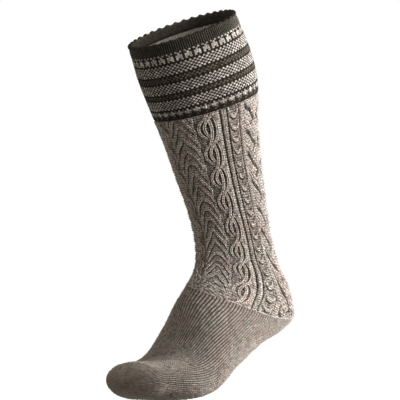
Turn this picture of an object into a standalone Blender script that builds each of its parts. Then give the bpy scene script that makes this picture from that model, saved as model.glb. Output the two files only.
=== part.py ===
"""A knee-high knitted wool sock in its worn form, as on a left foot that stands on its ball and toes.

Units are metres, +Z is up, the toes point to -Y and the outer side of the foot is +X. The origin is
the middle of the leg opening. The sock is a tube of knitted fabric whose rings follow the leg, turn
round the heel and run along the foot to a closed toe. Five knitted sections meet edge to edge:
welt, cuff, leg, foot and toe.
"""
import math
from collections import namedtuple

import bpy

OBJECT_NAME = "wool_sock"

# Driving sizes of the worn form
LEG_LENGTH = 0.200      # height from the ankle ring's middle to the opening's middle
CALF_DEPTH = 0.114      # front to back at the calf
CALF_WIDTH = 0.112      # side to side at the calf
FOOT_LENGTH = 0.240     # foot size that the heel, arch and toe follow
FOOT_WIDTH = 0.094      # side to side at the ball
TOE_TIP = 0.018         # how far the closed toe rounds out past its last ring
TOE_START = 12.0        # degrees into the toe's rounding that the last ring already is

# Fabric and sections
KNIT_WALL = 0.0024      # plain fabric
WELT_HEIGHT = 0.0125    # ribbed edge, measured down the leg's middle line
CUFF_HEIGHT = 0.0680    # patterned band below the welt
TOE_LENGTH = 0.0400     # closed toe, measured along the middle line to its tip
SECTION_GAP = 0.0004    # clearance between two sections
SEAM_DROP = 0.0075      # how far past the heel ring the seam of leg and foot runs, on average
SEAM_TILT = 0.0250      # how much further than that it comes down on its lowest side
SEAM_TURN = 45.0        # where that side is, in degrees from the front towards +X
SCALLOP_PITCH = 0.0090  # spacing of the teeth round the opening
SCALLOP_DEPTH = 0.0018  # how far the rim dips between two teeth
CABLE_HEIGHT = 0.0013   # how far a cable stands above the fabric
GROOVE_DEPTH = 0.0007   # how far the purl grooves lie below it
FERN_PITCH = 0.0150     # spacing of one motif to the next, down the leg
LEAF_PITCH = 0.0250
CHAIN_PITCH = 0.0118
CHEVRON_SLANT = 0.8     # how many motifs a chevron's edge lags behind its middle
LEAF_BASE = 0.4         # share of its height that a leaf keeps where it meets the next one
CHAIN_BASE = 0.5
RIB_HEIGHT = 0.6        # height of the narrow ribs as a share of a cable's
PATTERN_TURN = 12.0     # degrees that the cable pattern is turned towards +X from the shin

# How finely the surfaces are divided
LINES_PER_SCALLOP = 6
CUFF_ROWS = 4
LEG_ROWS = 42
FOOT_ROWS = 12
TOE_ROWS = 2
CAP_ROWS = 5
INNER_ROWS = {"cuff": 2, "leg": 11, "foot": 10, "toe": 2}

# Rings of the leg, from the opening to the ankle. down and back are shares of LEG_LENGTH, from the
# opening's middle; dip is how many degrees the ring's front lies below its back; depth is a share of
# CALF_DEPTH and width a share of CALF_WIDTH.
LegRing = namedtuple("LegRing", "down back dip depth width")
LEG_RINGS = (
    LegRing(0.00, 0.000, 27.0, 0.960, 0.955),
    LegRing(0.15, 0.084, 26.5, 1.020, 1.000),
    LegRing(0.31, 0.165, 24.5, 0.980, 0.975),
    LegRing(0.48, 0.217, 20.5, 0.850, 0.865),
    LegRing(0.68, 0.278, 15.0, 0.765, 0.760),
    LegRing(0.85, 0.339, 9.5, 0.725, 0.675),
    LegRing(1.00, 0.384, 4.0, 0.725, 0.640),
)

# Rings of the foot, from below the ankle to the toe. ahead and down are shares of FOOT_LENGTH, from
# the ankle ring's middle; depth is a share of FOOT_LENGTH, width and side of FOOT_WIDTH. sole_power
# squares the lower half of the ring, 2 being an ellipse, and side moves it towards the big toe.
FootRing = namedtuple("FootRing", "ahead down dip depth width sole_power side")
FOOT_RINGS = (
    FootRing(-0.034, 0.111, -4.5, 0.420, 0.738, 2.0, 0.00),
    FootRing(-0.063, 0.177, -12.0, 0.519, 0.733, 2.1, 0.00),
    FootRing(-0.058, 0.249, -17.5, 0.575, 0.731, 2.3, 0.00),
    FootRing(-0.006, 0.293, -20.5, 0.535, 0.746, 2.5, 0.00),
    FootRing(0.104, 0.360, -26.5, 0.416, 0.810, 2.7, 0.00),
    FootRing(0.209, 0.446, -40.5, 0.292, 0.910, 2.9, 0.00),
    FootRing(0.344, 0.560, -64.0, 0.207, 1.009, 3.0, -0.02),
    FootRing(0.465, 0.585, -75.0, 0.162, 0.959, 2.6, -0.05),
    FootRing(0.531, 0.587, -78.0, 0.146, 0.827, 2.3, -0.09),
)
HEEL_RING = len(LEG_RINGS) + 2   # the cabled leg ends near this ring and the plain foot starts

# Columns of the leg's cable pattern, from the middle of its front to the middle of its back, in
# degrees round the leg; the other side mirrors them. lines is how many facets a column gets.
Column = namedtuple("Column", "kind span lines")
COLUMNS = (
    Column("fern", 17.0, 3),
    Column("leaf", 23.0, 4),
    Column("plain", 5.0, 1),
    Column("rib", 8.0, 2),
    Column("chain", 14.0, 2),
    Column("plain", 7.0, 1),
    Column("vee", 34.0, 6),
    Column("chain", 14.0, 2),
    Column("rib", 8.0, 2),
    Column("plain", 5.0, 1),
    Column("leaf", 23.0, 4),
    Column("fern", 22.0, 3),
)

COLOURS = {
    "welt": (0.030, 0.030, 0.022, 1.0),
    "cuff": (0.160, 0.140, 0.115, 1.0),
    "leg": (0.250, 0.215, 0.180, 1.0),
    "foot": (0.235, 0.200, 0.170, 1.0),
    "toe": (0.220, 0.185, 0.160, 1.0),
}

Ring = namedtuple("Ring", "y z dip depth width sole_power side")


def ring_table():
    """The rings in metres, all from the opening's middle."""
    rings = []
    for row in LEG_RINGS:
        rings.append(Ring(row.back * LEG_LENGTH, -row.down * LEG_LENGTH, row.dip,
                          row.depth * CALF_DEPTH, row.width * CALF_WIDTH, 2.0, 0.0))
    ankle = rings[-1]
    for row in FOOT_RINGS:
        rings.append(Ring(ankle.y - row.ahead * FOOT_LENGTH, ankle.z - row.down * FOOT_LENGTH, row.dip,
                          row.depth * FOOT_LENGTH, row.width * FOOT_WIDTH, row.sole_power,
                          row.side * FOOT_WIDTH))
    return rings


RINGS = ring_table()


def ring_distances():
    """Distance of each ring down the sock's middle line."""
    distances = [0.0]
    for upper, lower in zip(RINGS, RINGS[1:]):
        distances.append(distances[-1] + math.hypot(lower.y - upper.y, lower.z - upper.z))
    return distances


DISTANCES = ring_distances()
SOCK_LENGTH = DISTANCES[-1]
HEEL_SEAM = DISTANCES[HEEL_RING] + SEAM_DROP
TOE_SEAM = SOCK_LENGTH + TOE_TIP - TOE_LENGTH


def ring_slopes():
    """Rate of change of every column at each ring, for a smooth curve through the table."""
    steps = [b - a for a, b in zip(DISTANCES, DISTANCES[1:])]
    rates = [[(q - p) / step for p, q in zip(upper, lower)]
             for upper, lower, step in zip(RINGS, RINGS[1:], steps)]
    slopes = [rates[0]]
    for i in range(1, len(rates)):
        before, after = steps[i - 1], steps[i]
        slopes.append([(before * q + after * p) / (before + after) for p, q in zip(rates[i - 1], rates[i])])
    slopes.append(rates[-1])
    return slopes


SLOPES = ring_slopes()


def ring_at(distance):
    """The ring at a distance down the middle line."""
    distance = min(max(distance, 0.0), SOCK_LENGTH)
    i = 0
    while i < len(RINGS) - 2 and distance > DISTANCES[i + 1]:
        i += 1
    step = DISTANCES[i + 1] - DISTANCES[i]
    f = (distance - DISTANCES[i]) / step
    g = 1.0 - f

    def blend(p, q, m, n):
        before = (1 + 2 * f) * g * g * p + f * g * g * step * m
        after = f * f * (3 - 2 * f) * q - f * f * g * step * n
        return before + after

    return Ring(*map(blend, RINGS[i], RINGS[i + 1], SLOPES[i], SLOPES[i + 1]))


def ring_point(distance, angle, inset=0.0, cap=0.0):
    """A point of the ring at a distance, at an angle in degrees from the front towards +X.

    inset moves it inwards from the outer surface; cap runs from 0 at the last ring to 1 at the tip.
    """
    ring = ring_at(distance)
    turn = math.radians(angle)
    c, s = math.cos(turn), math.sin(turn)
    if c < 0.0:
        c = -abs(c) ** (2 / ring.sole_power)
        s = math.copysign(abs(s) ** (2 / ring.sole_power), s)
    start = math.radians(TOE_START)
    round_off = start + (math.pi / 2 - start) * cap
    shrink = math.cos(round_off) / math.cos(start)
    ahead = (TOE_TIP - inset) * (math.sin(round_off) - math.sin(start)) / (1 - math.sin(start))
    reach = (ring.depth / 2 - inset) * c * shrink
    dip = math.radians(ring.dip)
    return ((ring.width / 2 - inset) * s * shrink + ring.side,
            ring.y - reach * math.cos(dip) + ahead * math.sin(dip),
            ring.z - reach * math.sin(dip) - ahead * math.cos(dip))


def line_angles():
    """Angles of the facet lines round the sock: each column's edges and what divides it."""
    half = [0.0]
    for column in COLUMNS:
        start = half[-1]
        half += [start + column.span * k / column.lines for k in range(1, column.lines + 1)]
    other = [360.0 - a for a in reversed(half[1:-1])]
    return [a + PATTERN_TURN for a in half + other]


def wave(phase):
    """A smooth wave that is 1 at whole numbers and 0 halfway between them."""
    return 0.5 + 0.5 * math.cos(2 * math.pi * phase)


def column_relief(kind, across, down):
    """Height of a column above the plain fabric; across runs from -1 to 1, down is in metres."""
    edge = abs(across)
    if kind == "fern":
        return CABLE_HEIGHT * wave(down / FERN_PITCH - CHEVRON_SLANT * edge)
    if kind == "vee":
        return CABLE_HEIGHT * wave(down / LEAF_PITCH + CHEVRON_SLANT * edge)
    if kind == "leaf":
        return CABLE_HEIGHT * (1 - edge) * (LEAF_BASE + (1 - LEAF_BASE) * wave(down / LEAF_PITCH))
    if kind == "chain":
        link = CHAIN_BASE + (1 - CHAIN_BASE) * wave(down / CHAIN_PITCH)
        return CABLE_HEIGHT * (1 - edge) * link - GROOVE_DEPTH * edge
    if kind == "rib":
        return CABLE_HEIGHT * RIB_HEIGHT * (1 - edge) - GROOVE_DEPTH * edge
    return 0.0


def leg_relief(distance, angle):
    """Height of the cable pattern at a point of the leg."""
    around = (angle - PATTERN_TURN) % 360.0
    around = min(around, 360.0 - around)
    down = distance - WELT_HEIGHT - CUFF_HEIGHT
    start = 0.0
    for column in COLUMNS:
        if around <= start + column.span:
            share = (around - start) / column.span
            at_middle = column.kind == "fern"
            if at_middle and start > 0.0:
                across = 1.0 - share
            elif at_middle:
                across = share
            else:
                across = 2.0 * share - 1.0
            return column_relief(column.kind, across, down)
        start += column.span
    return 0.0


def heel_seam(angle):
    """Distance of the tilted seam of leg and foot at an angle."""
    return HEEL_SEAM + SEAM_TILT * math.cos(math.radians(angle - SEAM_TURN))


def foot_start(angle):
    return heel_seam(angle) + SECTION_GAP


def shell(name, outer, inner, closed_toe=False):
    """One closed body from the rows of points of its outer and its inner surface.

    The outer rows hold a whole number of times the inner rows' points. The rims join the first rows
    and the last rows, but a closed toe ends each surface in a point instead.
    """
    points = []
    faces = []

    def add_rows(rows):
        indices = []
        for row in rows:
            indices.append(list(range(len(points), len(points) + len(row))))
            points.extend(row)
        return indices

    def add_side(rows, outwards):
        for upper, lower in zip(rows, rows[1:]):
            n = len(upper)
            for k in range(n):
                face = [upper[k], lower[k], lower[(k + 1) % n], upper[(k + 1) % n]]
                faces.append(face if outwards else face[::-1])

    def add_rim(wide, narrow, outwards):
        ratio = len(wide) // len(narrow)
        for k in range(len(narrow)):
            arc = [wide[(ratio * k + j) % len(wide)] for j in range(ratio + 1)]
            face = arc + [narrow[(k + 1) % len(narrow)], narrow[k]]
            faces.append(face if outwards else face[::-1])

    def add_tip(row, tip, outwards):
        points.append(tip)
        top = len(points) - 1
        for k in range(len(row)):
            face = [row[k], top, row[(k + 1) % len(row)]]
            faces.append(face if outwards else face[::-1])

    outer_tip = outer.pop()[0] if closed_toe else None
    inner_tip = inner.pop()[0] if closed_toe else None
    outer_rows = add_rows(outer)
    inner_rows = add_rows(inner)
    add_side(outer_rows, True)
    add_side(inner_rows, False)
    add_rim(outer_rows[0], inner_rows[0], True)
    if closed_toe:
        add_tip(outer_rows[-1], outer_tip, True)
        add_tip(inner_rows[-1], inner_tip, False)
    else:
        add_rim(outer_rows[-1], inner_rows[-1], False)

    mesh = bpy.data.meshes.new(name)
    mesh.from_pydata(points, [], faces)
    mesh.validate()
    return mesh


def edge_at(edge, angle):
    """Distance of a section's edge, which is a number, or a function of the angle where it tilts."""
    return edge(angle) if callable(edge) else edge


def surface(start, end, steps, angles, inset=0.0, relief=None):
    """Rows of points from one edge to another, with an optional relief above the plain fabric."""
    rows = []
    for k in range(steps + 1):
        row = []
        for angle in angles:
            first, last = edge_at(start, angle), edge_at(end, angle)
            distance = first + (last - first) * k / steps
            height = relief(distance, angle) if relief else 0.0
            row.append(ring_point(distance, angle, inset - height))
        rows.append(row)
    return rows


def cap_rows(angles, inset=0.0):
    """Rows of points of the rounded toe, the last one being its tip."""
    return [[ring_point(SOCK_LENGTH, a, inset, k / CAP_ROWS) for a in angles] for k in range(1, CAP_ROWS + 1)]


def welt_mesh():
    """Ribbed edge whose top rim is scalloped."""
    ring = ring_at(0.0)
    girth = math.pi * (ring.depth + ring.width) / 2
    scallops = round(girth / SCALLOP_PITCH)
    count = scallops * LINES_PER_SCALLOP
    angles = [360.0 * k / count for k in range(count)]

    def tooth(k):
        return SCALLOP_DEPTH * (1.0 - wave(k / LINES_PER_SCALLOP))

    upper = [ring_point(tooth(k), a) for k, a in enumerate(angles)]
    lower = [ring_point(WELT_HEIGHT, a) for a in angles]
    upper_inside = [ring_point(tooth(k), a, KNIT_WALL) for k, a in enumerate(angles)]
    lower_inside = [ring_point(WELT_HEIGHT, a, KNIT_WALL) for a in angles]
    outer = [upper, lower]
    inner = [upper_inside[::2], lower_inside[::2]]
    return shell("welt", outer, inner)


def cuff_mesh(angles):
    """Patterned band, plain in relief."""
    start = WELT_HEIGHT + SECTION_GAP
    end = WELT_HEIGHT + CUFF_HEIGHT
    outer = surface(start, end, CUFF_ROWS, angles)
    inner = surface(start, end, INNER_ROWS["cuff"], angles[::2], KNIT_WALL)
    return shell("cuff", outer, inner)


def leg_mesh(angles):
    """Cabled tube from the cuff to the tilted seam, whose plain fabric lies half a cable's height in."""
    start = WELT_HEIGHT + CUFF_HEIGHT + SECTION_GAP
    plain = CABLE_HEIGHT / 2
    outer = surface(start, heel_seam, LEG_ROWS, angles, plain, leg_relief)
    inner = surface(start, heel_seam, INNER_ROWS["leg"], angles[::2], plain + KNIT_WALL)
    return shell("leg", outer, inner)


def foot_mesh(angles):
    """Plain tube from the heel seam round the heel to the toe."""
    outer = surface(foot_start, TOE_SEAM, FOOT_ROWS, angles)
    inner = surface(foot_start, TOE_SEAM, INNER_ROWS["foot"], angles[::2], KNIT_WALL)
    return shell("foot", outer, inner)


def toe_mesh(angles):
    """Closed, rounded toe."""
    start = TOE_SEAM + SECTION_GAP
    coarse = angles[::2]
    outer = surface(start, SOCK_LENGTH, TOE_ROWS, angles) + cap_rows(angles)
    inner = surface(start, SOCK_LENGTH, INNER_ROWS["toe"], coarse, KNIT_WALL)
    inner += cap_rows(coarse, KNIT_WALL)
    return shell("toe", outer, inner, closed_toe=True)


def wool(name):
    """Matte wool in the section's main colour."""
    material = bpy.data.materials.new(f"{name}_wool")
    material.use_nodes = True
    principled = material.node_tree.nodes["Principled BSDF"]
    principled.inputs["Base Color"].default_value = COLOURS[name]
    principled.inputs["Roughness"].default_value = 0.95
    principled.inputs["Metallic"].default_value = 0.0
    return material


def place(mesh, distance, parent, collection):
    """Adds a section with its origin at the middle of its upper ring."""
    ring = ring_at(distance)
    middle = (ring.side, ring.y, ring.z)
    for vertex in mesh.vertices:
        vertex.co = [p - q for p, q in zip(vertex.co, middle)]
    mesh.materials.append(wool(mesh.name))
    mesh.shade_smooth()
    section = bpy.data.objects.new(mesh.name, mesh)
    section.location = middle
    section.parent = parent
    collection.objects.link(section)


def build():
    for old in list(bpy.data.objects):
        bpy.data.objects.remove(old, do_unlink=True)
    collection = bpy.data.collections.new(OBJECT_NAME)
    bpy.context.scene.collection.children.link(collection)
    root = bpy.data.objects.new("leg_opening_middle", None)
    collection.objects.link(root)

    angles = line_angles()
    place(welt_mesh(), 0.0, root, collection)
    place(cuff_mesh(angles), WELT_HEIGHT, root, collection)
    place(leg_mesh(angles), WELT_HEIGHT + CUFF_HEIGHT, root, collection)
    place(foot_mesh(angles), HEEL_SEAM, root, collection)
    place(toe_mesh(angles), TOE_SEAM, root, collection)


build()
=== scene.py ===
"""Looks of the knitted wool sock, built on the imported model. Metres, +Z up, toes to -Y.

Every piece is one closed shell of fabric: an outer surface with the knitting in relief, and a plain
inner surface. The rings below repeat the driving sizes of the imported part.
"""
import math

import bpy
import numpy as np
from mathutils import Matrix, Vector


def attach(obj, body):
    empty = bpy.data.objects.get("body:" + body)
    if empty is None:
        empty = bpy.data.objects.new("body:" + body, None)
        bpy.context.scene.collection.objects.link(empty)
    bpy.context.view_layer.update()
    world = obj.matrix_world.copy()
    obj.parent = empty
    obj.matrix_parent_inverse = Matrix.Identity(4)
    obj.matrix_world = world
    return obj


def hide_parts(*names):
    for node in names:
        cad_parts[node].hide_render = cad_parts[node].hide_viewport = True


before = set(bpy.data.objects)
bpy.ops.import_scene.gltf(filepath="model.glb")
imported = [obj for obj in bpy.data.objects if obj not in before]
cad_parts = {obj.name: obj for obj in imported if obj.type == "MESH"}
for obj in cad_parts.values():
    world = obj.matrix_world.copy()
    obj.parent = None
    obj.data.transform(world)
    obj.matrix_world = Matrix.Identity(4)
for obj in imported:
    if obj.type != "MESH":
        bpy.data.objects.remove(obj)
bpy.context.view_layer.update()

# ---------------------------------------------------------------- worn form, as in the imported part
LEG_LENGTH = 0.200
CALF_DEPTH = 0.114
CALF_WIDTH = 0.112
FOOT_LENGTH = 0.240
FOOT_WIDTH = 0.094
TOE_TIP = 0.018
TOE_START = math.radians(12.0)
KNIT_WALL = 0.0024
WELT_END = 0.0125
CUFF_END = WELT_END + 0.0680
LEG_INSET = 0.00065          # the leg's plain fabric lies this far inside the ring
SEAM_DROP = 0.0075           # the heel seam's mean height below its ring
SEAM_TILT = 0.0250           # the seam lies lower on the outer side by this much
SEAM_TURN = 45.0

# down, back, dip, depth, width
LEG_RINGS = (
    (0.00, 0.000, 27.0, 0.960, 0.955),
    (0.15, 0.084, 26.5, 1.020, 1.000),
    (0.31, 0.165, 24.5, 0.980, 0.975),
    (0.48, 0.217, 20.5, 0.850, 0.865),
    (0.68, 0.278, 15.0, 0.765, 0.760),
    (0.85, 0.339, 9.5, 0.725, 0.675),
    (1.00, 0.384, 4.0, 0.725, 0.640),
)
# ahead, down, dip, depth, width, sole power, side
FOOT_RINGS = (
    (-0.034, 0.111, -4.5, 0.420, 0.738, 2.0, 0.00),
    (-0.063, 0.177, -12.0, 0.519, 0.733, 2.1, 0.00),
    (-0.058, 0.249, -17.5, 0.575, 0.731, 2.3, 0.00),
    (-0.006, 0.293, -20.5, 0.535, 0.746, 2.5, 0.00),
    (0.104, 0.360, -26.5, 0.416, 0.810, 2.7, 0.00),
    (0.209, 0.446, -40.5, 0.292, 0.910, 2.9, 0.00),
    (0.344, 0.560, -64.0, 0.207, 1.009, 3.0, -0.02),
    (0.465, 0.585, -75.0, 0.162, 0.959, 2.6, -0.05),
    (0.531, 0.587, -78.0, 0.146, 0.827, 2.3, -0.09),
)
LEG_POWER = 2.0              # the leg's rings are plain ovals
HEEL_RING = len(LEG_RINGS) + 2


def ring_table():
    """Rows of y, z, dip, depth, width, sole power and side."""
    rows = [(back * LEG_LENGTH, -down * LEG_LENGTH, dip,
             depth * CALF_DEPTH, width * CALF_WIDTH, LEG_POWER, 0.0)
            for down, back, dip, depth, width in LEG_RINGS]
    ankle_y, ankle_z = rows[-1][:2]
    for ahead, down, dip, depth, width, power, side in FOOT_RINGS:
        rows.append((ankle_y - ahead * FOOT_LENGTH, ankle_z - down * FOOT_LENGTH, dip,
                     depth * FOOT_LENGTH, width * FOOT_WIDTH, power, side * FOOT_WIDTH))
    return np.array(rows)


RINGS = ring_table()
STEPS = np.hypot(np.diff(RINGS[:, 0]), np.diff(RINGS[:, 1]))
DISTANCES = np.concatenate([[0.0], np.cumsum(STEPS)])
SOCK_LENGTH = DISTANCES[-1]
HEEL_SEAM = DISTANCES[HEEL_RING] + SEAM_DROP


def ring_slopes():
    """How fast each column of the rings changes down the sock."""
    rates = np.diff(RINGS, axis=0) / STEPS[:, None]
    before, after = STEPS[:-1, None], STEPS[1:, None]
    middle = (before * rates[1:] + after * rates[:-1]) / (before + after)
    return np.concatenate([rates[:1], middle, rates[-1:]])


SLOPES = ring_slopes()


def heel_seam(angle):
    """How far down the sock the seam between leg and foot lies."""
    return HEEL_SEAM + SEAM_TILT * np.cos(np.radians(angle - SEAM_TURN))


def rings_at(distance):
    """Smooth values between the rings."""
    distance = np.clip(distance, 0.0, SOCK_LENGTH)
    i = np.searchsorted(DISTANCES[1:-1], distance)
    step = STEPS[i][..., None]
    f = (distance - DISTANCES[i])[..., None] / step
    g = 1.0 - f
    before = (1 + 2 * f) * g * g * RINGS[i] + f * g * g * step * SLOPES[i]
    after = f * f * (3 - 2 * f) * RINGS[i + 1] - f * f * g * step * SLOPES[i + 1]
    return before + after


def skin(distance, angle, inset=0.0, cap=0.0):
    """Points of the sock at distances down its middle line and angles from the front towards +X."""
    distance, angle, inset, cap = np.broadcast_arrays(distance, angle, inset, cap)
    ring = rings_at(distance)
    y, z, dip, depth, width, power, side = np.moveaxis(ring, -1, 0)
    turn = np.radians(angle)
    c, s = np.cos(turn), np.sin(turn)
    squared = c < 0.0
    c = np.where(squared, -np.abs(c) ** (2 / power), c)
    s = np.where(squared, np.sign(s) * np.abs(s) ** (2 / power), s)
    round_off = TOE_START + (math.pi / 2 - TOE_START) * cap
    shrink = np.cos(round_off) / math.cos(TOE_START)
    ahead = (TOE_TIP - inset) * (np.sin(round_off) - math.sin(TOE_START)) / (1 - math.sin(TOE_START))
    reach = (depth / 2 - inset) * c * shrink
    dip = np.radians(dip)
    return np.stack([(width / 2 - inset) * s * shrink + side,
                     y - reach * np.cos(dip) + ahead * np.sin(dip),
                     z - reach * np.sin(dip) - ahead * np.cos(dip)], axis=-1)


# ---------------------------------------------------------------- meshes
COLUMNS_PER_WALE = 4         # gap, leg, valley and leg of a stitch
ROWS_PER_COURSE = 3
INNER_STEP = 4               # the inner surface has one column for this many outside
# painted shade: the inner surface's colour is darkened to this tone
INNER_TONE = 0.6

# The bake's UV map, as lower edge and height: bands of the outer surface above the inner surface,
# and narrow strips between them for the rims and for the tips of a closed toe.
BAKE_LEFT = 0.01
BAKE_WIDTH = 0.98
BAKE_OUTER = (0.31, 0.68)
BAKE_BAND_MARGIN = 0.02
BAKE_INNER = (0.02, 0.25)
BAKE_RIMS = (0.278, 0.292)
BAKE_RIM_HEIGHT = 0.008
BAKE_TIPS = (0.302, 0.008)
BAKE_TIP_HEIGHT = 0.006


def quads(first, rows, columns, outwards):
    """Corner indices of a tube's quads, and each corner's row and column."""
    r, c = np.meshgrid(np.arange(rows - 1), np.arange(columns), indexing="ij")
    r, c = r.ravel(), c.ravel()
    corner_r = np.stack([r, r + 1, r + 1, r], axis=1)
    corner_c = np.stack([c, c, c + 1, c + 1], axis=1)
    if not outwards:
        corner_r, corner_c = corner_r[:, ::-1], corner_c[:, ::-1]
    return first + corner_r * columns + corner_c % columns, corner_r, corner_c


def rim(wide_first, wide_count, narrow_first, narrow_count, outwards):
    """Corner indices of the faces that join an outer row to an inner row with fewer points."""
    ratio = wide_count // narrow_count
    k = np.arange(narrow_count)[:, None]
    arc = wide_first + (ratio * k + np.arange(ratio + 1)) % wide_count
    back = narrow_first + (k + np.array([1, 0])) % narrow_count
    faces = np.concatenate([arc, back], axis=1)
    share = np.concatenate([k + np.arange(ratio + 1) / ratio, k + np.array([1, 0])], axis=1) / narrow_count
    side = np.concatenate([np.ones_like(arc), np.zeros_like(back)], axis=1)
    if not outwards:
        faces, share, side = faces[:, ::-1], share[:, ::-1], side[:, ::-1]
    return faces, share, side


def tip_fan(first, count, tip, bake_low, course, outwards):
    """Triangles from a closed toe's last row to its tip, with their knit and bake UV."""
    k = np.arange(count)
    corners = np.stack([first + k, np.full(count, tip), first + (k + 1) % count], axis=1)
    places = np.stack([k, k + 0.5, k + 1], axis=1)
    heights = np.tile([bake_low + BAKE_TIP_HEIGHT, bake_low, bake_low + BAKE_TIP_HEIGHT], (count, 1))
    bake = np.stack([BAKE_LEFT + BAKE_WIDTH * places / count, heights], axis=-1)
    courses = np.tile([course, course + 1.0, course], (count, 1))
    knitted = np.stack([places / COLUMNS_PER_WALE, courses], axis=-1)
    if not outwards:
        corners, bake, knitted = corners[:, ::-1], bake[:, ::-1], knitted[:, ::-1]
    return corners, knitted, bake, True


def shell(name, outer, inner, knit, tone, bands=1, closed_toe=False):
    """A closed body of fabric from rows of points of its outer and inner surface.

    knit holds each outer point's wale and course, tone how much light reaches it. A closed toe's
    last rows are one point each.
    """
    outer_rows, columns = outer.shape[:2]
    inner_rows, coarse = inner.shape[:2]
    if closed_toe:
        outer_rows, inner_rows = outer_rows - 1, inner_rows - 1
        tips = np.stack([outer[-1].mean(0), inner[-1].mean(0)])
        outer, inner = outer[:-1], inner[:-1]
    inner_first = outer_rows * columns
    points = np.concatenate([outer.reshape(-1, 3), inner.reshape(-1, 3)])
    groups = []                                # corner indices, knit UV, bake UV, smooth

    corners, r, c = quads(0, outer_rows, columns, True)
    wide = columns // bands
    band = np.minimum(c.min(axis=1) // wide, bands - 1)[:, None]
    low, high = BAKE_OUTER
    up = BAKE_BAND_MARGIN + (1 - 2 * BAKE_BAND_MARGIN) * (1 - r / (outer_rows - 1))
    bake = np.stack([BAKE_LEFT + BAKE_WIDTH * (c - band * wide) / (columns - wide * (bands - 1)),
                     low + high * (band + up) / bands], axis=-1)
    wales = knit[..., 0]
    last_wale = wales[:, -1:] + (wales[:, -1:] - wales[:, -2:-1])
    wales = np.concatenate([wales, last_wale], axis=1)
    courses = np.concatenate([knit[..., 1], knit[:, :1, 1]], axis=1)
    groups.append((corners, np.stack([wales[r, c], courses[r, c]], axis=-1), bake, True))

    corners, r, c = quads(inner_first, inner_rows, coarse, False)
    first_course, last_course = knit[0, 0, 1], knit[-1, 0, 1]
    inside = np.stack([c * columns / coarse / COLUMNS_PER_WALE,
                       first_course + (last_course - first_course) * r / (inner_rows - 1)], axis=-1)
    low, high = BAKE_INNER
    bake = np.stack([BAKE_LEFT + BAKE_WIDTH * c / coarse, low + high * (1 - r / (inner_rows - 1))], axis=-1)
    groups.append((corners, inside, bake, True))

    last_outer, last_inner = (outer_rows - 1) * columns, inner_first + (inner_rows - 1) * coarse
    ends = [(0, inner_first, True, BAKE_RIMS[0])]
    if not closed_toe:
        ends.append((last_outer, last_inner, False, BAKE_RIMS[1]))
    for wide_first, narrow_first, outwards, low in ends:
        corners, share, side = rim(wide_first, columns, narrow_first, coarse, outwards)
        bake = np.stack([BAKE_LEFT + BAKE_WIDTH * share, low + BAKE_RIM_HEIGHT * side], axis=-1)
        knitted = np.stack([share * columns / COLUMNS_PER_WALE, side * 1.0], axis=-1)
        groups.append((corners, knitted, bake, False))

    if closed_toe:
        outer_tip = len(points)
        points = np.concatenate([points, tips])
        groups.append(tip_fan(last_outer, columns, outer_tip, BAKE_TIPS[0], last_course, True))
        groups.append(tip_fan(last_inner, coarse, outer_tip + 1, BAKE_TIPS[1], last_course, False))

    mesh = bpy.data.meshes.new(name)
    corners = np.concatenate([g[0].ravel() for g in groups]).astype(np.int32)
    sizes = np.concatenate([np.full(len(g[0]), g[0].shape[1]) for g in groups]).astype(np.int32)
    mesh.vertices.add(len(points))
    mesh.vertices.foreach_set("co", points.astype(np.float32).ravel())
    mesh.loops.add(len(corners))
    mesh.loops.foreach_set("vertex_index", corners)
    mesh.polygons.add(len(sizes))
    mesh.polygons.foreach_set("loop_start", np.cumsum(sizes, dtype=np.int32) - sizes)
    smooth = np.concatenate([np.full(len(g[0]), g[3]) for g in groups])
    mesh.polygons.foreach_set("use_smooth", smooth)
    for layer, slot in (("knit", 1), ("OFBake", 2)):
        uv = mesh.uv_layers.new(name=layer)
        uv.data.foreach_set("uv", np.concatenate([g[slot].ravel() for g in groups]).astype(np.float32))
    light = np.full(len(points), INNER_TONE)
    light[:inner_first] = tone[:outer_rows].ravel()
    if closed_toe:
        light[outer_tip] = tone[-1].mean()
    mesh.attributes.new("tone", "FLOAT", "POINT").data.foreach_set("value", light.astype(np.float32))
    mesh.update(calc_edges=True)
    mesh.validate()
    piece = bpy.data.objects.new(name, mesh)
    bpy.context.scene.collection.objects.link(piece)
    return piece


# ---------------------------------------------------------------- stitches
# Heights of knitting run from 0 in a gap to 1 on top of a strand.
COURSE_HEIGHTS = np.array([0.40, 1.0, 0.85])
STITCH_SLANT = 0.45          # how far a stitch's valley lies above its shoulders, in courses
STITCH_STRAY = 0.06
STITCH_UNEVEN = 0.12
ON_RING = 0.6                # the height that lies on the ring
HIGHEST = 1.2

rng = np.random.default_rng(38)


def stitches(wales, courses, valley, leg=0.8):
    """Height and course of each point of plain knitting, from how high a stitch's middle and legs lie."""
    leg_heights = np.array([0.0, leg, valley, leg])
    middle = COLUMNS_PER_WALE // 2
    column = np.arange(wales * COLUMNS_PER_WALE) % COLUMNS_PER_WALE
    row = np.arange(courses * ROWS_PER_COURSE + 1) % ROWS_PER_COURSE
    height = leg_heights[column][None, :] * COURSE_HEIGHTS[row][:, None]
    shift = STITCH_SLANT * (np.abs(column - middle) / middle - 0.5)[None, :]
    place = np.arange(courses * ROWS_PER_COURSE + 1) / ROWS_PER_COURSE
    hold = np.clip(np.minimum(place, courses - place), 0.0, 1.0)[:, None]
    jitter = rng.normal(0.0, 1.0, (courses + 1, wales))
    jitter = jitter[np.arange(len(row)) // ROWS_PER_COURSE][:, np.arange(len(column)) // COLUMNS_PER_WALE]
    place = place[:, None] + shift * hold + STITCH_STRAY * jitter * hold
    return height * (1 + STITCH_UNEVEN * jitter), place


def stitch_places(rows, columns):
    """Wale and course of each point of plain knitting, for the knit UV map."""
    wale = np.arange(columns) / COLUMNS_PER_WALE
    course = np.arange(rows) / ROWS_PER_COURSE
    return np.stack(np.broadcast_arrays(wale[None, :], course[:, None]), axis=-1)


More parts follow.
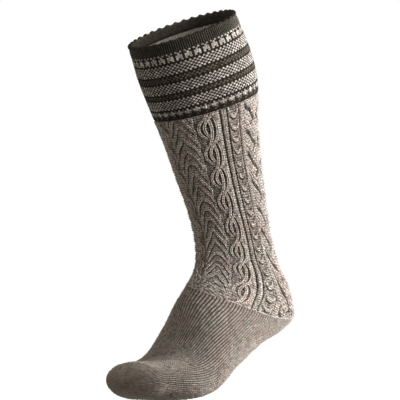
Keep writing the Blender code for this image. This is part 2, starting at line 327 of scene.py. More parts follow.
def blur(field, rows, columns):
    """Box blur, twice, round the tube and held at its ends."""
    for _ in range(2):
        padded = np.pad(field, ((rows, rows), (columns, columns)), mode="wrap")
        padded[:rows, columns:-columns] = field[:1]
        padded[-rows:, columns:-columns] = field[-1:]
        padded[:, :columns] = padded[:, -2 * columns:-columns]
        padded[:, -columns:] = padded[:, columns:2 * columns]
        total = np.cumsum(np.cumsum(np.pad(padded, ((1, 0), (1, 0))), axis=0), axis=1)
        high, wide = 2 * rows + 1, 2 * columns + 1
        field = (total[high:, wide:] - total[:-high, wide:] - total[high:, :-wide]
                 + total[:-high, :-wide]) / (high * wide)
    return field


def speckle(shape, spread, low, high):
    """Uneven spots of about two points across, around 1."""
    spots = blur(rng.normal(0.0, 1.0, shape), 1, 1)
    return np.clip(1.0 + spread * spots / spots.std(), low, high)


# ---------------------------------------------------------------- yarns
LIGHT_YARN = (0.960, 0.885, 0.800)
MIDDLE_YARN = (0.330, 0.290, 0.245)
SMOKY_YARN = (0.235, 0.200, 0.155)
DARK_YARN = (0.048, 0.040, 0.030)
WELT_YARN = (0.180, 0.162, 0.126)
LEG_YARN = (0.675, 0.604, 0.535)
FOOT_YARN = (0.440, 0.386, 0.334)
PURPLE_BROWN = (0.98, 0.92, 0.92)
UNDYED = (1.0, 1.0, 1.0)

# ---------------------------------------------------------------- cuff: charted colour pattern
# One row is one course, four stitches repeat round the sock. L light, M middle, S smoky, D dark.
STARS = ("LDLD", "DLDD", "LLLD", "LLLD", "LDLD")
CHECK = ("DLDL", "LDLD") * 3
WIDE_STRIPE = ("DDDD", "DSDS", "SDSD", "DSDS", "DDDD")
STRIPE = ("DDDD", "SDSD", "DSDS", "DDDD")
CROSSES = ("DLDM", "LLLM", "MLMD")
CHART = (STARS + ("DDDD",) + CHECK + WIDE_STRIPE + CHECK + STRIPE + CHECK + ("DDDD",) + CROSSES
         + ("DDSD", "DSDD", "DDDD"))
CHART_YARNS = {"L": LIGHT_YARN, "M": MIDDLE_YARN, "S": SMOKY_YARN, "D": DARK_YARN}
WALES = 152
CUFF_RELIEF = 0.0010
CUFF_VALLEY = 0.5
CUFF_INNER_ROWS = 9
CUFF_SPECKLE = (0.15, 0.5, 1.5)
YARN_UNEVEN = 0.14


def cuff_piece():
    """The cuff, with the chart's yarn colour on every face of its outer surface."""
    courses = len(CHART)
    height, place = stitches(WALES, courses, CUFF_VALLEY)
    rows, columns = height.shape
    distance = WELT_END + (CUFF_END - WELT_END) * place / courses
    angle = np.arange(columns) * 360.0 / columns
    outer = skin(distance, angle, -CUFF_RELIEF * (height - ON_RING))
    inner_distance = np.linspace(WELT_END, CUFF_END, CUFF_INNER_ROWS)[:, None]
    inner = skin(inner_distance, angle[::INNER_STEP], KNIT_WALL)
    # painted shade: the gaps between stitches are darker, with random speckle on top
    tone = (0.22 + 0.88 * np.clip(height, 0, HIGHEST)) * speckle(height.shape, *CUFF_SPECKLE)
    piece = shell("cuff_knit", outer, inner, stitch_places(rows, columns), tone, bands=2)

    chart = np.array([[CHART_YARNS[stitch] for stitch in course] for course in CHART])
    face_row, face_column = np.divmod(np.arange((rows - 1) * columns), columns)
    face_course, face_wale = face_row // ROWS_PER_COURSE, face_column // COLUMNS_PER_WALE
    uneven = np.clip(rng.normal(1.0, YARN_UNEVEN, (courses, WALES)), 0.7, 1.3)
    colours = chart[face_course, face_wale % chart.shape[1]] * uneven[face_course, face_wale][:, None]
    mesh = piece.data
    faces = np.ones((len(mesh.polygons), 4), np.float32)
    faces[:, :3] = LIGHT_YARN
    faces[:len(colours), :3] = colours
    sizes = np.zeros(len(mesh.polygons), np.int32)
    mesh.polygons.foreach_get("loop_total", sizes)
    layer = mesh.color_attributes.new("yarn", "FLOAT_COLOR", "CORNER")
    layer.data.foreach_set("color", np.repeat(faces, sizes, axis=0).ravel())
    return piece


# ---------------------------------------------------------------- welt
SCALLOPS = 38
SCALLOP_DEPTH = 0.0018
RIB_RELIEF = 0.0012
WELT_COURSES = 7
WELT_INNER_ROWS = 4
WELT_INNER_TOP = 0.10        # where the inner surface starts, as a share of the welt
EDGE_TONE = 0.20
# height above the welt's lower edge as a share, how far out it bulges, and how deep the ribs are;
# the last rows curl over the edge to the inside
WELT_PROFILE = (
    (0.00, 0.0000, 1.0), (0.08, 0.0000, 1.0), (0.17, 0.0001, 1.0), (0.26, 0.0002, 1.0),
    (0.35, 0.0002, 1.0), (0.44, 0.0002, 1.0), (0.53, 0.0001, 1.0), (0.62, 0.0001, 1.0),
    (0.70, 0.0001, 1.0), (0.77, 0.0002, 0.9), (0.83, 0.0006, 0.6), (0.885, 0.0011, 0.4),
    (0.94, 0.0012, 0.3), (0.98, 0.0007, 0.3), (1.00, -0.0003, 0.3), (0.99, -0.0013, 0.3),
    (0.95, -0.0021, 0.3),
)


def welt_piece():
    """The ribbed welt, with a scalloped edge that curls inwards."""
    columns = WALES * COLUMNS_PER_WALE
    angle = np.arange(columns) * 360.0 / columns
    wale = np.arange(columns) / COLUMNS_PER_WALE
    tooth = SCALLOP_DEPTH * (0.5 - 0.5 * np.cos(2 * math.pi * wale / (WALES / SCALLOPS))) ** 0.8
    rib = 0.5 - 0.5 * np.cos(2 * math.pi * wale)
    up, out, ribbed = (np.array(column)[::-1, None] for column in zip(*WELT_PROFILE))
    distance = WELT_END * (1 - up) + tooth * up ** 3
    relief = out + RIB_RELIEF * ribbed * (rib - ON_RING)
    outer = skin(distance, angle, -relief)
    inner_distance = np.linspace(WELT_END * WELT_INNER_TOP, WELT_END, WELT_INNER_ROWS)[:, None]
    inner = skin(inner_distance, angle[::INNER_STEP], KNIT_WALL)
    knit = np.stack(np.broadcast_arrays(wale[None, :], (1 - up) * WELT_COURSES), axis=-1)
    # painted shade in the gaps between the ribs; the curled edge rows take the flat EDGE_TONE instead
    tone = rib[None, :] ** 3 * ribbed + EDGE_TONE * (1 - ribbed)
    return shell("welt_knit", outer, inner, knit, tone, bands=4)


# ---------------------------------------------------------------- leg: cables in relief
# The pattern is drawn in degrees from its middle, over the shin, and millimetres below the cuff.
COURSE = 2.6
MIRROR = 101.0              # the calf side repeats the shin side, mirrored in this line
RELIEF = 0.0030             # from the bottom of a groove to the top of a cable
LOWEST = -0.0014            # the grooves' bottom below the plain fabric

FERN_PITCH = 13.1
FERN_START = 8.2
FERN_SLOPE = 0.75           # how steeply a frond runs down beside the shin, and how much steeper
FERN_BEND = 0.035           # it gets on its way out
FERN_ROUNDING = 3.0
FROND_HALF = 1.7            # half the width of a double strand
ROPE_ABOVE = 3.3            # a lower rope runs along each frond
ROPE_HALF = 1.4
FERN_EDGE = 15.8
UPRIGHT_MIDDLE = 16.6       # the wavering upright that the fronds run into
UPRIGHT_SWING = 0.8
UPRIGHT_HALF = 1.5

LEAF_PITCH = 27.1
LEAF_START = 17.0
LEAF_FROM = 20.0
LEAF_MIDDLE = 32.5
LEAF_REACH = 7.1            # how far the bands swing out
LEAF_STEEPNESS = 6.0
LEAF_DELAY = 0.33           # the upper band crosses later by this much, the lower one sooner
EYE_HALF = 5.0
BUD_HALF = (1.5, 3.4)       # the knot in the eye, across and down

GROOVES = (48.4, 55.9, 70.3)
GROOVE_HALF = 0.5
SEED_EDGE = 44.8            # plain purl stitches from here to the first groove

CHAIN_PITCH = 12.7
CHAIN_START = 10.3
CHAIN_MIDDLE = 63.1
LINK_DROP = 5.0             # a link's ends hang this far above its middle
LINK_REACH = 4.7
LINK_HALF = 2.1
WALL_PLACE = 6.0
WALL_HALF = 1.2

VEE_PITCH = 25.3
VEE_FROM = 75.5
VEE_START = 26.0
VEE_TOP = 76.5
VEE_SLOPE = 0.95
VEE_FLATTENED = 0.72        # turns a height difference into a distance from a sloping line
ROPE_WIDTH = 3.64
LINE_HALF = 1.9
HOOK_FROM = 88.5
HOOK_PLACE = 97.0
HOOK_TO = 98.0


def cord(distance, half):
    """Rounded profile of a strand: 1 on its middle line, 0 from its edge on."""
    return np.sqrt(np.clip(1.0 - (distance / half) ** 2, 0.0, 1.0))


def pair(distance, half):
    """Two ridges side by side, the two legs of one column of stitches."""
    ridge = half / 2
    overlap = 1.12
    return np.maximum(cord(distance - ridge, ridge * overlap), cord(distance + ridge, ridge * overlap))


def wrapped(value, pitch):
    """The value's distance from the nearest whole number of pitches."""
    return value - pitch * np.round(value / pitch)


def ramp_up(value, start, length):
    """0 up to start, then evenly to 1 over the length."""
    return np.clip((value - start) / length, 0, 1)


def purl(across, down):
    """Bumps of the plain ground, wider than they are high."""
    bump = np.cos(2 * math.pi * down / COURSE) * np.cos(math.pi * across / 1.9)
    return 0.5 + 0.5 * bump


def fern(across, down):
    """Double strands that run down and out from the shin and end in a wavering upright."""
    drift = 1.1 * np.sin(down / 9.0 + 0.3 * across) + 0.8 * np.sin(down / 5.3 - 0.4 * across)
    run = np.sqrt(across ** 2 + FERN_ROUNDING)
    below = wrapped(down + drift - FERN_START - FERN_SLOPE * run - FERN_BEND * run ** 2, FERN_PITCH)
    away = below / np.sqrt(1.0 + (FERN_SLOPE + 2 * FERN_BEND * run) ** 2)
    strand = 0.12 + 0.92 * pair(away, FROND_HALF)
    rope = 0.08 + 0.76 * pair(away + ROPE_ABOVE, ROPE_HALF)
    depth = ramp_up(across, 4.0, 6.0) * ramp_up(16.5 - across, 0.0, 3.0)
    hole = 0.40 * (1.0 - depth) + 0.08 * depth
    inside = np.where(np.abs(away) < FROND_HALF, strand, np.where(away < 0, rope, hole))
    inside = np.where(away > 2.9, 0.30 + 0.40 * cord(away - 3.9, 1.1), inside)
    upright = across - UPRIGHT_MIDDLE - UPRIGHT_SWING * np.sin(2 * math.pi * (down - 2.0) / FERN_PITCH)
    edge = 0.20 + 0.70 * pair(upright, UPRIGHT_HALF)
    height = np.where(across < FERN_EDGE, inside, 0.22 + 0.32 * purl(across, down))
    height = np.where(np.abs(upright) < UPRIGHT_HALF + 0.1, np.maximum(edge, height), height)
    return height, 0.5 + away * 0.28


def leaf(across, down):
    """Two bands of double strands that twist round each other and leave an eye between the twists."""
    x = across - LEAF_MIDDLE
    turn = math.pi * (down - LEAF_START) / LEAF_PITCH
    s = np.sin(turn)
    later = LEAF_DELAY * s
    body = 0.30 + 0.14 * np.abs(s) ** 2
    bands = []
    for side, bend in ((1.0, turn - later), (-1.0, turn + later)):
        c = np.cos(bend)
        reach = side * LEAF_REACH * np.sign(c) * np.abs(c) ** 0.78
        slope = LEAF_STEEPNESS * np.sin(bend) * math.pi / LEAF_PITCH
        off = (x - reach) / np.sqrt(1.0 + slope ** 2)
        spread = 1.85 + 1.35 * np.abs(c)
        half = 1.8 + 0.15 * np.abs(c)
        strands = np.maximum(pair(off - spread, half), pair(off + spread, half))
        bands.append((body + (1.0 - body) * strands, 0.5 + (np.abs(off) - spread) / (2.1 * half),
                      np.abs(off) < spread + half))
    bumps = purl(across, down)
    ground = np.where(x < 0, 0.24 + 0.34 * bumps, 0.50 + 0.30 * bumps)
    from_eye = np.hypot(x / BUD_HALF[0], wrapped(down - LEAF_START, LEAF_PITCH) / BUD_HALF[1])
    height = np.where(np.abs(x) < EYE_HALF * np.abs(np.cos(turn)), 0.55 * cord(from_eye, 1.0), ground)
    wale = 0.5 + 0.1 * x
    dip = 1.0 - 0.5 * np.abs(s) ** 3           # the band that passes below lies lower
    for over in (False, True):
        for band, first in zip(bands, (True, False)):
            here = band[2] & ((s > 0) == (first == over))
            height = np.where(here, band[0] * (1.0 if over else dip), height)
            wale = np.where(here, band[1], wale)
    return height, wale


def chain(across, down):
    """Links that hang like U letters between two walls."""
    x = np.abs(across - CHAIN_MIDDLE)
    wall = 0.35 + 0.40 * cord(x - WALL_PLACE, WALL_HALF)
    hang = LINK_DROP * (np.minimum(x, 5.2) / LINK_REACH) ** 2.6
    bend = wrapped(down - CHAIN_START + hang, CHAIN_PITCH)
    link = 0.36 + 0.64 * pair(bend, LINK_HALF)
    pocket = 0.34 + 0.26 * purl(across, down)
    pocket = np.where((bend > LINK_HALF) & (bend < 3.4) & (x < 4.0), 0.05, pocket)
    height = np.where((np.abs(bend) < LINK_HALF) & (x < 5.3), link, pocket)
    return np.where(x > 5.0, np.maximum(wall, height), height), 0.5 + 0.25 * bend


def vee(across, down):
    """Broad ropes that slope down to the middle of the side, parted by dark lines."""
    below = down - VEE_START - VEE_SLOPE * (across - VEE_TOP)
    line = wrapped(below + 1.1 * np.sin(across / 2.3 + down / 14.0), VEE_PITCH)
    away = VEE_FLATTENED * line
    deep = ramp_up(across, VEE_TOP, 5.0) * ramp_up(HOOK_TO - across, 0.0, 1.5)
    ropes = 0.64 + 0.16 * np.cos(2 * math.pi * away / ROPE_WIDTH) + 0.16 * (purl(across, down) - 0.5)
    swell = 0.5 - 0.5 * np.cos(2 * math.pi * line / VEE_PITCH)
    height = ropes * (0.75 + 0.3 * swell)
    broken = 0.85 + 0.15 * np.sin(across / 1.3 + down / 6.1)
    height = height - height * deep * broken * np.clip(LINE_HALF - np.abs(away), 0, 1)
    hook_rise = 5.5 * (HOOK_PLACE - across) / (HOOK_PLACE - HOOK_FROM)
    hook = wrapped(down - VEE_START - VEE_SLOPE * (HOOK_PLACE - VEE_TOP) - hook_rise, VEE_PITCH)
    hooked = np.clip(LINE_HALF - np.abs(hook), 0, 1) * ((across > HOOK_FROM) & (across < HOOK_TO))
    return height * (1 - 0.9 * hooked), 0.5 + away / ROPE_WIDTH


def upright_rib(across, down):
    """A plain rope between two grooves."""
    return 0.70 + 0.18 * np.cos(2 * math.pi * down / COURSE + 1.2 * across), across * 0.27


def cable_relief(around, down):
    """Height from 0 to 1 and place across a stitch, at degrees from the pattern's middle."""
    across = np.abs(around)
    across = np.where(across > MIRROR, 2 * MIRROR - across, across)
    across, down = np.broadcast_arrays(across, down)
    height, wale = fern(across, down)
    for start, form in ((LEAF_FROM, leaf), (GROOVES[0], upright_rib), (GROOVES[1], chain),
                        (GROOVES[2], upright_rib), (VEE_FROM, vee)):
        there_height, there_wale = form(across, down)
        there = across >= start
        height, wale = np.where(there, there_height, height), np.where(there, there_wale, wale)
    seeded = (across > SEED_EDGE) & (across < GROOVES[0])
    height = np.where(seeded, 0.52 + 0.22 * purl(across, down), height)
    for groove in GROOVES:
        off = np.abs(across - groove) + 0.3 * np.cos(2 * math.pi * down / COURSE)
        beside = ramp_up(off, GROOVE_HALF, 0.6)
        height = height * beside - 0.12 * (1 - beside)
    return height, wale


LEG_COLUMNS = 760
LEG_ROWS = 360
LEG_PARTS = ("leg_upper_knit", "leg_middle_knit", "leg_lower_knit")
LEG_INNER_STEP = 8
LEG_SPECKLE = (0.28, 0.3, 1.8)
EDGE_ROWS = 4.0              # the relief runs out in this many rows at the leg's ends
CUFF_EDGE = 0.45             # the fabric's height at the cuff and at the heel seam
SEAM_EDGE = 0.85
TURN_TOP = 6.0
TURN_MORE = 24.0
TURN_LENGTH = 0.2055
# Over the ankle the cables are felted together, and painted shade darkens the front of the ankle, up to
# these heights above the heel seam and fading over these lengths, in millimetres.
CRUMPLED_HIGH = 34.0
CRUMPLED_FADE = 16.0
SHADED_HIGH = 62.0
SHADED_FADE = 40.0
SHADED = 0.28


def pattern_turn(distance):
    """The worn sock is twisted: the pattern's middle moves towards +X down the leg."""
    return TURN_TOP + TURN_MORE * ((distance - CUFF_END) / TURN_LENGTH) ** 2


def crumple(height, around, down, left, angle, shin):
    """Flattens the cables over the ankle and puts small irregular folds in their place."""
    crumpled = ramp_up(CRUMPLED_HIGH - left, 0.0, CRUMPLED_FADE) * shin
    ripple = 2 * math.pi * left / 5.2 + 2.2 * np.sin(np.radians(11 * angle)) + 0.09 * around
    fold = 0.5 + 0.5 * np.sin(ripple) * np.cos(np.radians(17 * angle) + 0.45 * left)
    return height * (1 - 0.7 * crumpled) + crumpled * (0.12 + 0.5 * fold + 0.15 * purl(around, down))


def leg_pieces():
    """The cabled leg, parted by rows because one piece would have too many triangles."""
    angle = (np.arange(LEG_COLUMNS) * 360.0 / LEG_COLUMNS)[None, :]
    share = np.linspace(0.0, 1.0, LEG_ROWS + 1)[:, None]
    distance = CUFF_END + (heel_seam(angle) - CUFF_END) * share
    down = (distance - CUFF_END) * 1000.0
    left = (1.0 - share) * (heel_seam(angle) - CUFF_END) * 1000.0
    around = (angle - pattern_turn(distance) + 180.0) % 360.0 - 180.0
    shin = np.clip(1.6 - np.abs(around) / 28.0, 0, 1)
    # the knitting wavers a little, as worn wool does
    sway = (0.5 * np.sin(np.radians(3 * angle) + down / 17.0)
            + 0.35 * np.sin(np.radians(5 * angle) - down / 11.0))
    height, wale = cable_relief(around + 0.5 * sway, down + 1.0 * sway)
    beads = np.cos(2 * math.pi * (down / COURSE - 0.35 * np.abs(wale % 1.0 - 0.5)))
    height = height * (1.0 + 0.20 * beads) * (1.0 + 0.05 * rng.normal(0.0, 1.0, height.shape))
    height = 0.85 * height + 0.15 * blur(height, 1, 1)
    height = crumple(height, around, down, left, angle, shin)
    inwards = np.clip(np.minimum(share, 1 - share) * LEG_ROWS / EDGE_ROWS, 0, 1)
    height = height * inwards + np.where(share > 0.5, SEAM_EDGE, CUFF_EDGE) * (1 - inwards)
    # painted shade: the fabric is darker the lower it lies and the deeper it sits in a hollow, lighter on
    # stitch beads
    hollow = np.clip(blur(height, 3, 3) - height, 0, 1)
    tone = np.clip((1.30 * height - 0.06) * (1.0 + 0.32 * beads) - 1.5 * hollow, 0, 1.4)
    tone = tone * speckle(tone.shape, *LEG_SPECKLE)
    # painted shade over the front of the ankle, fading upwards
    tone = tone * (1.0 - SHADED * ramp_up(SHADED_HIGH - left, 0.0, SHADED_FADE) * shin)
    outer = skin(distance, angle, LEG_INSET - LOWEST - RELIEF * height)
    knit = np.stack([wale, down / COURSE], axis=-1)
    part_rows = LEG_ROWS // len(LEG_PARTS)
    pieces = []
    for number, name in enumerate(LEG_PARTS):
        rows = slice(number * part_rows, (number + 1) * part_rows + 1)
        inner_distance = distance[rows, ::INNER_STEP][::LEG_INNER_STEP]
        inner = skin(inner_distance, angle[:, ::INNER_STEP], LEG_INSET + KNIT_WALL)
        pieces.append(shell(name, outer[rows], inner, knit[rows], tone[rows], bands=2))
    return pieces


# ---------------------------------------------------------------- foot and toe: plain knitting
FOOT_WALES = 98
FOOT_COURSES = 71
CAP_COURSES = 8
FOOT_VALLEY = 1.0
FOOT_LEG = 0.70
FOOT_TWIST = 16.0            # degrees the columns of stitches turn towards -X down to the toes
FOOT_RELIEF = 0.0018
FOOT_SPECKLE = (0.10, 0.4, 1.6)
FOOT_INNER_ROWS = 24
CAP_INNER_ROWS = 6
QUIET_COURSES = 6            # the courses lie evener towards the cap, where painted light brightens them
EVEN_HEIGHT = 0.9
BEND_PLACE = 0.418           # the knitting dips where the toes bend up, with painted shade in the dip
BEND_LENGTH = 0.015
BEND_TURN = -6.0
BEND_WIDTH = 24.0
BEND_DEPTH = 0.0035


def even_angles(shares, count):
    """Angles that part the foot's girth into equal steps, at shares of the way from seam to toe."""
    fine = np.linspace(0.0, 360.0, 721)
    seam = heel_seam(fine)
    points = skin(seam + (SOCK_LENGTH - seam) * shares[:, None], fine)
    steps = np.linalg.norm(np.diff(points, axis=1), axis=2)
    reached = np.concatenate([np.zeros((len(shares), 1)), np.cumsum(steps, axis=1)], axis=1)
    wanted = (np.arange(count) / count - FOOT_TWIST / 360.0 * shares[:, None]) % 1.0
    return np.array([np.interp(want * row[-1], row, fine) for want, row in zip(wanted, reached)])


def foot_piece():
    """The plain foot from the heel seam on, with its closed toe."""
    height, place = stitches(FOOT_WALES, FOOT_COURSES + CAP_COURSES, FOOT_VALLEY, FOOT_LEG)
    rows = np.arange(height.shape[0])
    quiet = ramp_up(rows / ROWS_PER_COURSE - FOOT_COURSES, -QUIET_COURSES, QUIET_COURSES)[:, None]
    evened = EVEN_HEIGHT / COURSE_HEIGHTS[rows % ROWS_PER_COURSE][:, None] - 1
    height = height * (1 + (0.35 + 0.25 * quiet) * evened)
    shares = np.clip(rows / (ROWS_PER_COURSE * FOOT_COURSES), 0, 1)
    angle = even_angles(shares, height.shape[1])
    seam = heel_seam(angle)
    distance = seam + (SOCK_LENGTH - seam) * place / FOOT_COURSES
    cap = np.clip((place - FOOT_COURSES) / CAP_COURSES, 0, 1)
    fade = np.clip((1 - cap) * 1.4, 0, 1)
    turned = (angle - BEND_TURN + 180.0) % 360.0 - 180.0
    dent = np.exp(-((distance - BEND_PLACE) / BEND_LENGTH) ** 2 - (turned / BEND_WIDTH) ** 2)
    inset = BEND_DEPTH * dent - FOOT_RELIEF * (height - ON_RING) * fade
    outer = skin(np.minimum(distance, SOCK_LENGTH), angle, inset, cap)

    along = np.concatenate([np.linspace(0, 1, FOOT_INNER_ROWS), np.ones(CAP_INNER_ROWS)])
    inner_cap = np.concatenate([np.zeros(FOOT_INNER_ROWS), np.linspace(0, 1, CAP_INNER_ROWS + 1)[1:]])
    coarse = even_angles(along, height.shape[1])[:, ::INNER_STEP]
    seam = heel_seam(coarse)
    inner = skin(seam + (SOCK_LENGTH - seam) * along[:, None], coarse, KNIT_WALL, inner_cap[:, None])

    # painted shade: darker in the gaps between stitches; the toe cap gets an even tone
    tone = 1.45 * np.clip(height, 0, HIGHEST) ** 1.6 * fade + 0.90 * (1 - fade)
    # painted light brightens the courses towards the toe cap, and painted shade darkens the dent where the
    # toes bend up
    tone = tone * (1.0 + 0.15 * quiet) * (1.0 - 0.5 * dent)
    tone = tone * speckle(tone.shape, *FOOT_SPECKLE)
    return shell("foot_knit", outer, inner, stitch_places(*height.shape), tone, closed_toe=True)


# ---------------------------------------------------------------- materials
FIBRE_SCALE = 2600.0
HEATHER_SCALE = 850.0
PATCH_SCALE = 110.0
HUE_SCALE = 45.0
BUMP_STRENGTH = 0.8
BUMP_DISTANCE = 0.0005


class Nodes:
    """Short ways to add and join shader nodes."""

    def __init__(self, material):
        material.use_nodes = True
        self.tree = material.node_tree
        self.principled = self.tree.nodes["Principled BSDF"]

    def add(self, kind, **settings):
        node = self.tree.nodes.new(kind)
        for name, value in settings.items():
            setattr(node, name, value)
        return node

    def feed(self, socket, value):
        if isinstance(value, bpy.types.NodeSocket):
            self.tree.links.new(value, socket)
        else:
            socket.default_value = value

    def math(self, operation, a, b=0.0):
        node = self.add("ShaderNodeMath", operation=operation)
        self.feed(node.inputs[0], a)
        self.feed(node.inputs[1], b)
        return node.outputs[0]

    def product(self, first, *others):
        for other in others:
            first = self.math("MULTIPLY", first, other)
        return first

    def noise(self, vector, scale, detail, roughness):
        node = self.add("ShaderNodeTexNoise")
        self.feed(node.inputs["Vector"], vector)
        node.inputs["Scale"].default_value = scale
        node.inputs["Detail"].default_value = detail
        node.inputs["Roughness"].default_value = roughness
        return node.outputs["Fac"]

    def ramp(self, value, low, high, out_low=0.0, out_high=1.0):
        node = self.add("ShaderNodeMapRange")
        self.feed(node.inputs["Value"], value)
        for name, number in (("From Min", low), ("From Max", high),
                             ("To Min", out_low), ("To Max", out_high)):
            node.inputs[name].default_value = number
        return node.outputs["Result"]

    def mix(self, factor, a, b, blend="MIX"):
        node = self.add("ShaderNodeMix", data_type="RGBA", blend_type=blend)
        self.feed(node.inputs["Factor"], factor)
        self.feed(node.inputs[6], a)
        self.feed(node.inputs[7], b)
        return node.outputs[2]


def wool(name, yarn, shade, stitch_share, tint=UNDYED, sheen=0.0, mottle=0.6):
    """Heathered wool of one yarn, or of the charted ones where yarn is None.

    shade is how dark the hollows get, stitch_share how much the stitches show in the colour, and mottle
    how uneven the yarn's colour is.
    """
    material = bpy.data.materials.new(name)
    n = Nodes(material)
    place = n.add("ShaderNodeTexCoord").outputs["Object"]
    wale_course = n.add("ShaderNodeSeparateXYZ")
    n.feed(wale_course.inputs[0], n.add("ShaderNodeUVMap", uv_map="knit").outputs["UV"])
    wale, course = wale_course.outputs[0], wale_course.outputs[1]
    tone = n.add("ShaderNodeAttribute", attribute_name="tone").outputs["Fac"]

    # one stitch: two legs that lean towards each other
    across = n.math("ABSOLUTE", n.math("SUBTRACT", n.math("FRACT", wale), 0.5))
    leg = n.math("SINE", n.math("MULTIPLY", across, 2 * math.pi))
    lean = n.math("ADD", course, n.math("MULTIPLY", across, -0.9))
    along = n.math("ABSOLUTE", n.math("SINE", n.math("MULTIPLY", lean, math.pi)))
    stitch = n.math("MULTIPLY", leg, n.math("POWER", along, 0.6))

    fibre = n.noise(place, FIBRE_SCALE, 3.0, 0.7)
    heather = n.noise(place, HEATHER_SCALE, 3.0, 0.65)
    patch = n.noise(place, PATCH_SCALE, 2.0, 0.5)
    hue = n.noise(place, HUE_SCALE, 1.0, 0.5)

    # the colour carries painted shade: darker between the legs of each stitch and in the hollows given by
    # the tone attribute
    light = n.product(n.ramp(heather, 0.34, 0.66, 1.0 - mottle, 1.0 + mottle),
                      n.ramp(patch, 0.3, 0.7, 0.88, 1.12),
                      n.ramp(fibre, 0.3, 0.7, 0.70, 1.30),
                      n.ramp(stitch, 0.0, 1.0, 1.0 - stitch_share * 0.8, 1.0 + stitch_share * 0.4),
                      n.ramp(tone, 0.0, 1.0, shade, 1.08))
    grey = n.add("ShaderNodeCombineXYZ")
    for socket in grey.inputs:
        n.feed(socket, light)
    base = (*yarn, 1.0) if yarn else n.add("ShaderNodeVertexColor", layer_name="yarn").outputs["Color"]
    colour = n.mix(1.0, base, grey.outputs[0], "MULTIPLY")
    warm = n.mix(n.ramp(hue, 0.38, 0.62), (*UNDYED, 1.0), (*tint, 1.0))
    n.feed(n.principled.inputs["Base Color"], n.mix(1.0, colour, warm, "MULTIPLY"))

    bump = n.add("ShaderNodeBump")
    bump.inputs["Strength"].default_value = BUMP_STRENGTH
    bump.inputs["Distance"].default_value = BUMP_DISTANCE
    rough = n.math("ADD", n.math("MULTIPLY", heather, 0.7), n.math("MULTIPLY", fibre, 0.45))
    n.feed(bump.inputs["Height"], n.math("ADD", rough, n.math("MULTIPLY", stitch, stitch_share)))
    n.feed(n.principled.inputs["Normal"], bump.outputs[0])
    for socket, value in (("Roughness", 0.95), ("Specular IOR Level", 0.08), ("Sheen Weight", sheen),
                          ("Sheen Roughness", 0.6), ("Sheen Tint", (0.85, 0.80, 0.74, 1.0))):
        n.principled.inputs[socket].default_value = value
    return material


leg_wool = wool("leg_wool", LEG_YARN, 0.05, 0.8, PURPLE_BROWN, sheen=0.2)
foot = foot_piece()
foot_wool = wool("foot_wool", FOOT_YARN, 0.02, 0.4, PURPLE_BROWN, sheen=0.2, mottle=0.3)
dressed = [
    (welt_piece(), wool("welt_wool", WELT_YARN, 0.0, 0.4), ("welt",), "welt_wool"),
    (cuff_piece(), wool("cuff_wool", None, 0.03, 0.6), ("cuff",), "cuff_wool"),
    (foot, foot_wool, ("foot", "toe"), "foot_wool"),
]
dressed += [(piece, leg_wool, ("leg",), "leg_wool") for piece in leg_pieces()]

for piece, material, nodes, slot in dressed:
    piece.data.materials.append(material)
    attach(piece, "root")
    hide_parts(*nodes)

# ---------------------------------------------------------------- floor and world
HALF_FLOOR = 4.0
PALE = (0.35, 0.35, 0.35, 1.0)
WHITE = (1.0, 1.0, 1.0, 1.0)
FLOOR_GLOW = 0.92
FILL_COLOUR = (1.0, 0.94, 0.84, 1.0)
FILL_STRENGTH = 0.26

lowest = min(v.co.z for v in foot.data.vertices)
floor_mesh = bpy.data.meshes.new("floor")
floor_corners = [(x * HALF_FLOOR, y * HALF_FLOOR, lowest) for x, y in ((-1, -1), (1, -1), (1, 1), (-1, 1))]
floor_mesh.from_pydata(floor_corners, [], [(0, 1, 2, 3)])
floor = bpy.data.objects.new("floor", floor_mesh)
bpy.context.scene.collection.objects.link(floor)
floor_paint = bpy.data.materials.new("pale_floor")
floor_sockets = Nodes(floor_paint).principled.inputs
for socket, value in (("Base Color", PALE), ("Roughness", 0.9), ("Specular IOR Level", 0.1),
                      ("Emission Color", WHITE), ("Emission Strength", FLOOR_GLOW)):
    floor_sockets[socket].default_value = value
floor_mesh.materials.append(floor_paint)
floor.visible_diffuse = False      # the floor throws no light back up at the sock

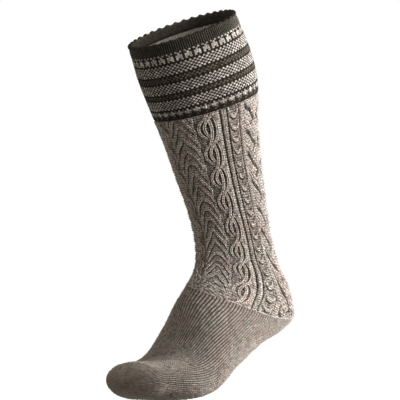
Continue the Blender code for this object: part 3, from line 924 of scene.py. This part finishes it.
# the camera sees white, the sock is lit by a dimmer and warmer world
world = bpy.data.worlds.new("studio")
bpy.context.scene.world = world
world.use_nodes = True
tree = world.node_tree
backdrop = tree.nodes["Background"]
backdrop.inputs["Color"].default_value = WHITE
backdrop.inputs["Strength"].default_value = 1.0
fill = tree.nodes.new("ShaderNodeBackground")
fill.inputs["Color"].default_value = FILL_COLOUR
fill.inputs["Strength"].default_value = FILL_STRENGTH
rays = tree.nodes.new("ShaderNodeLightPath")
chosen = tree.nodes.new("ShaderNodeMixShader")
tree.links.new(rays.outputs["Is Camera Ray"], chosen.inputs[0])
tree.links.new(fill.outputs[0], chosen.inputs[1])
tree.links.new(backdrop.outputs[0], chosen.inputs[2])
tree.links.new(chosen.outputs[0], tree.nodes["World Output"].inputs[0])

# ---------------------------------------------------------------- lights and camera
CAMERA_PLACE = Vector((0.9914, -1.0716, -0.3085))
AIM = Vector((-0.0108, 0.0395, -0.1651))
LENS = 136.83
SENSOR_WIDTH = 36.0
LIGHT_MIDDLE = Vector((0.0, 0.04, -0.17))
LIGHT_AWAY = 1.8
LIGHT_SIZE = 0.7
# name, degrees round from the toes' side towards +X, degrees up, watts
LIGHTS = (("key_front", 95.0, 15.0, 14.0), ("key", 117.0, 10.0, 18.5), ("key_back", 150.0, 10.0, 30.0),
          ("top", 20.0, 65.0, 5.0))


def placed(name, data, place, target):
    """Puts a light or camera in the scene, pointed at a target."""
    holder = bpy.data.objects.new(name, data)
    holder.location = place
    holder.rotation_euler = (target - place).to_track_quat("-Z", "Y").to_euler()
    bpy.context.scene.collection.objects.link(holder)
    return holder


for name, round_to, up, power in LIGHTS:
    turn, rise = math.radians(round_to), math.radians(up)
    away = Vector((math.cos(rise) * math.sin(turn), -math.cos(rise) * math.cos(turn), math.sin(rise)))
    lamp = bpy.data.lights.new(name, "AREA")
    lamp.shape = "DISK"
    lamp.size = LIGHT_SIZE
    lamp.energy = power
    placed(name, lamp, LIGHT_MIDDLE + LIGHT_AWAY * away, LIGHT_MIDDLE)

camera = bpy.data.cameras.new("camera")
camera.sensor_width = SENSOR_WIDTH
camera.lens = LENS
bpy.context.scene.camera = placed("camera", camera, CAMERA_PLACE, AIM)
bpy.context.scene.view_settings.view_transform = "Standard"
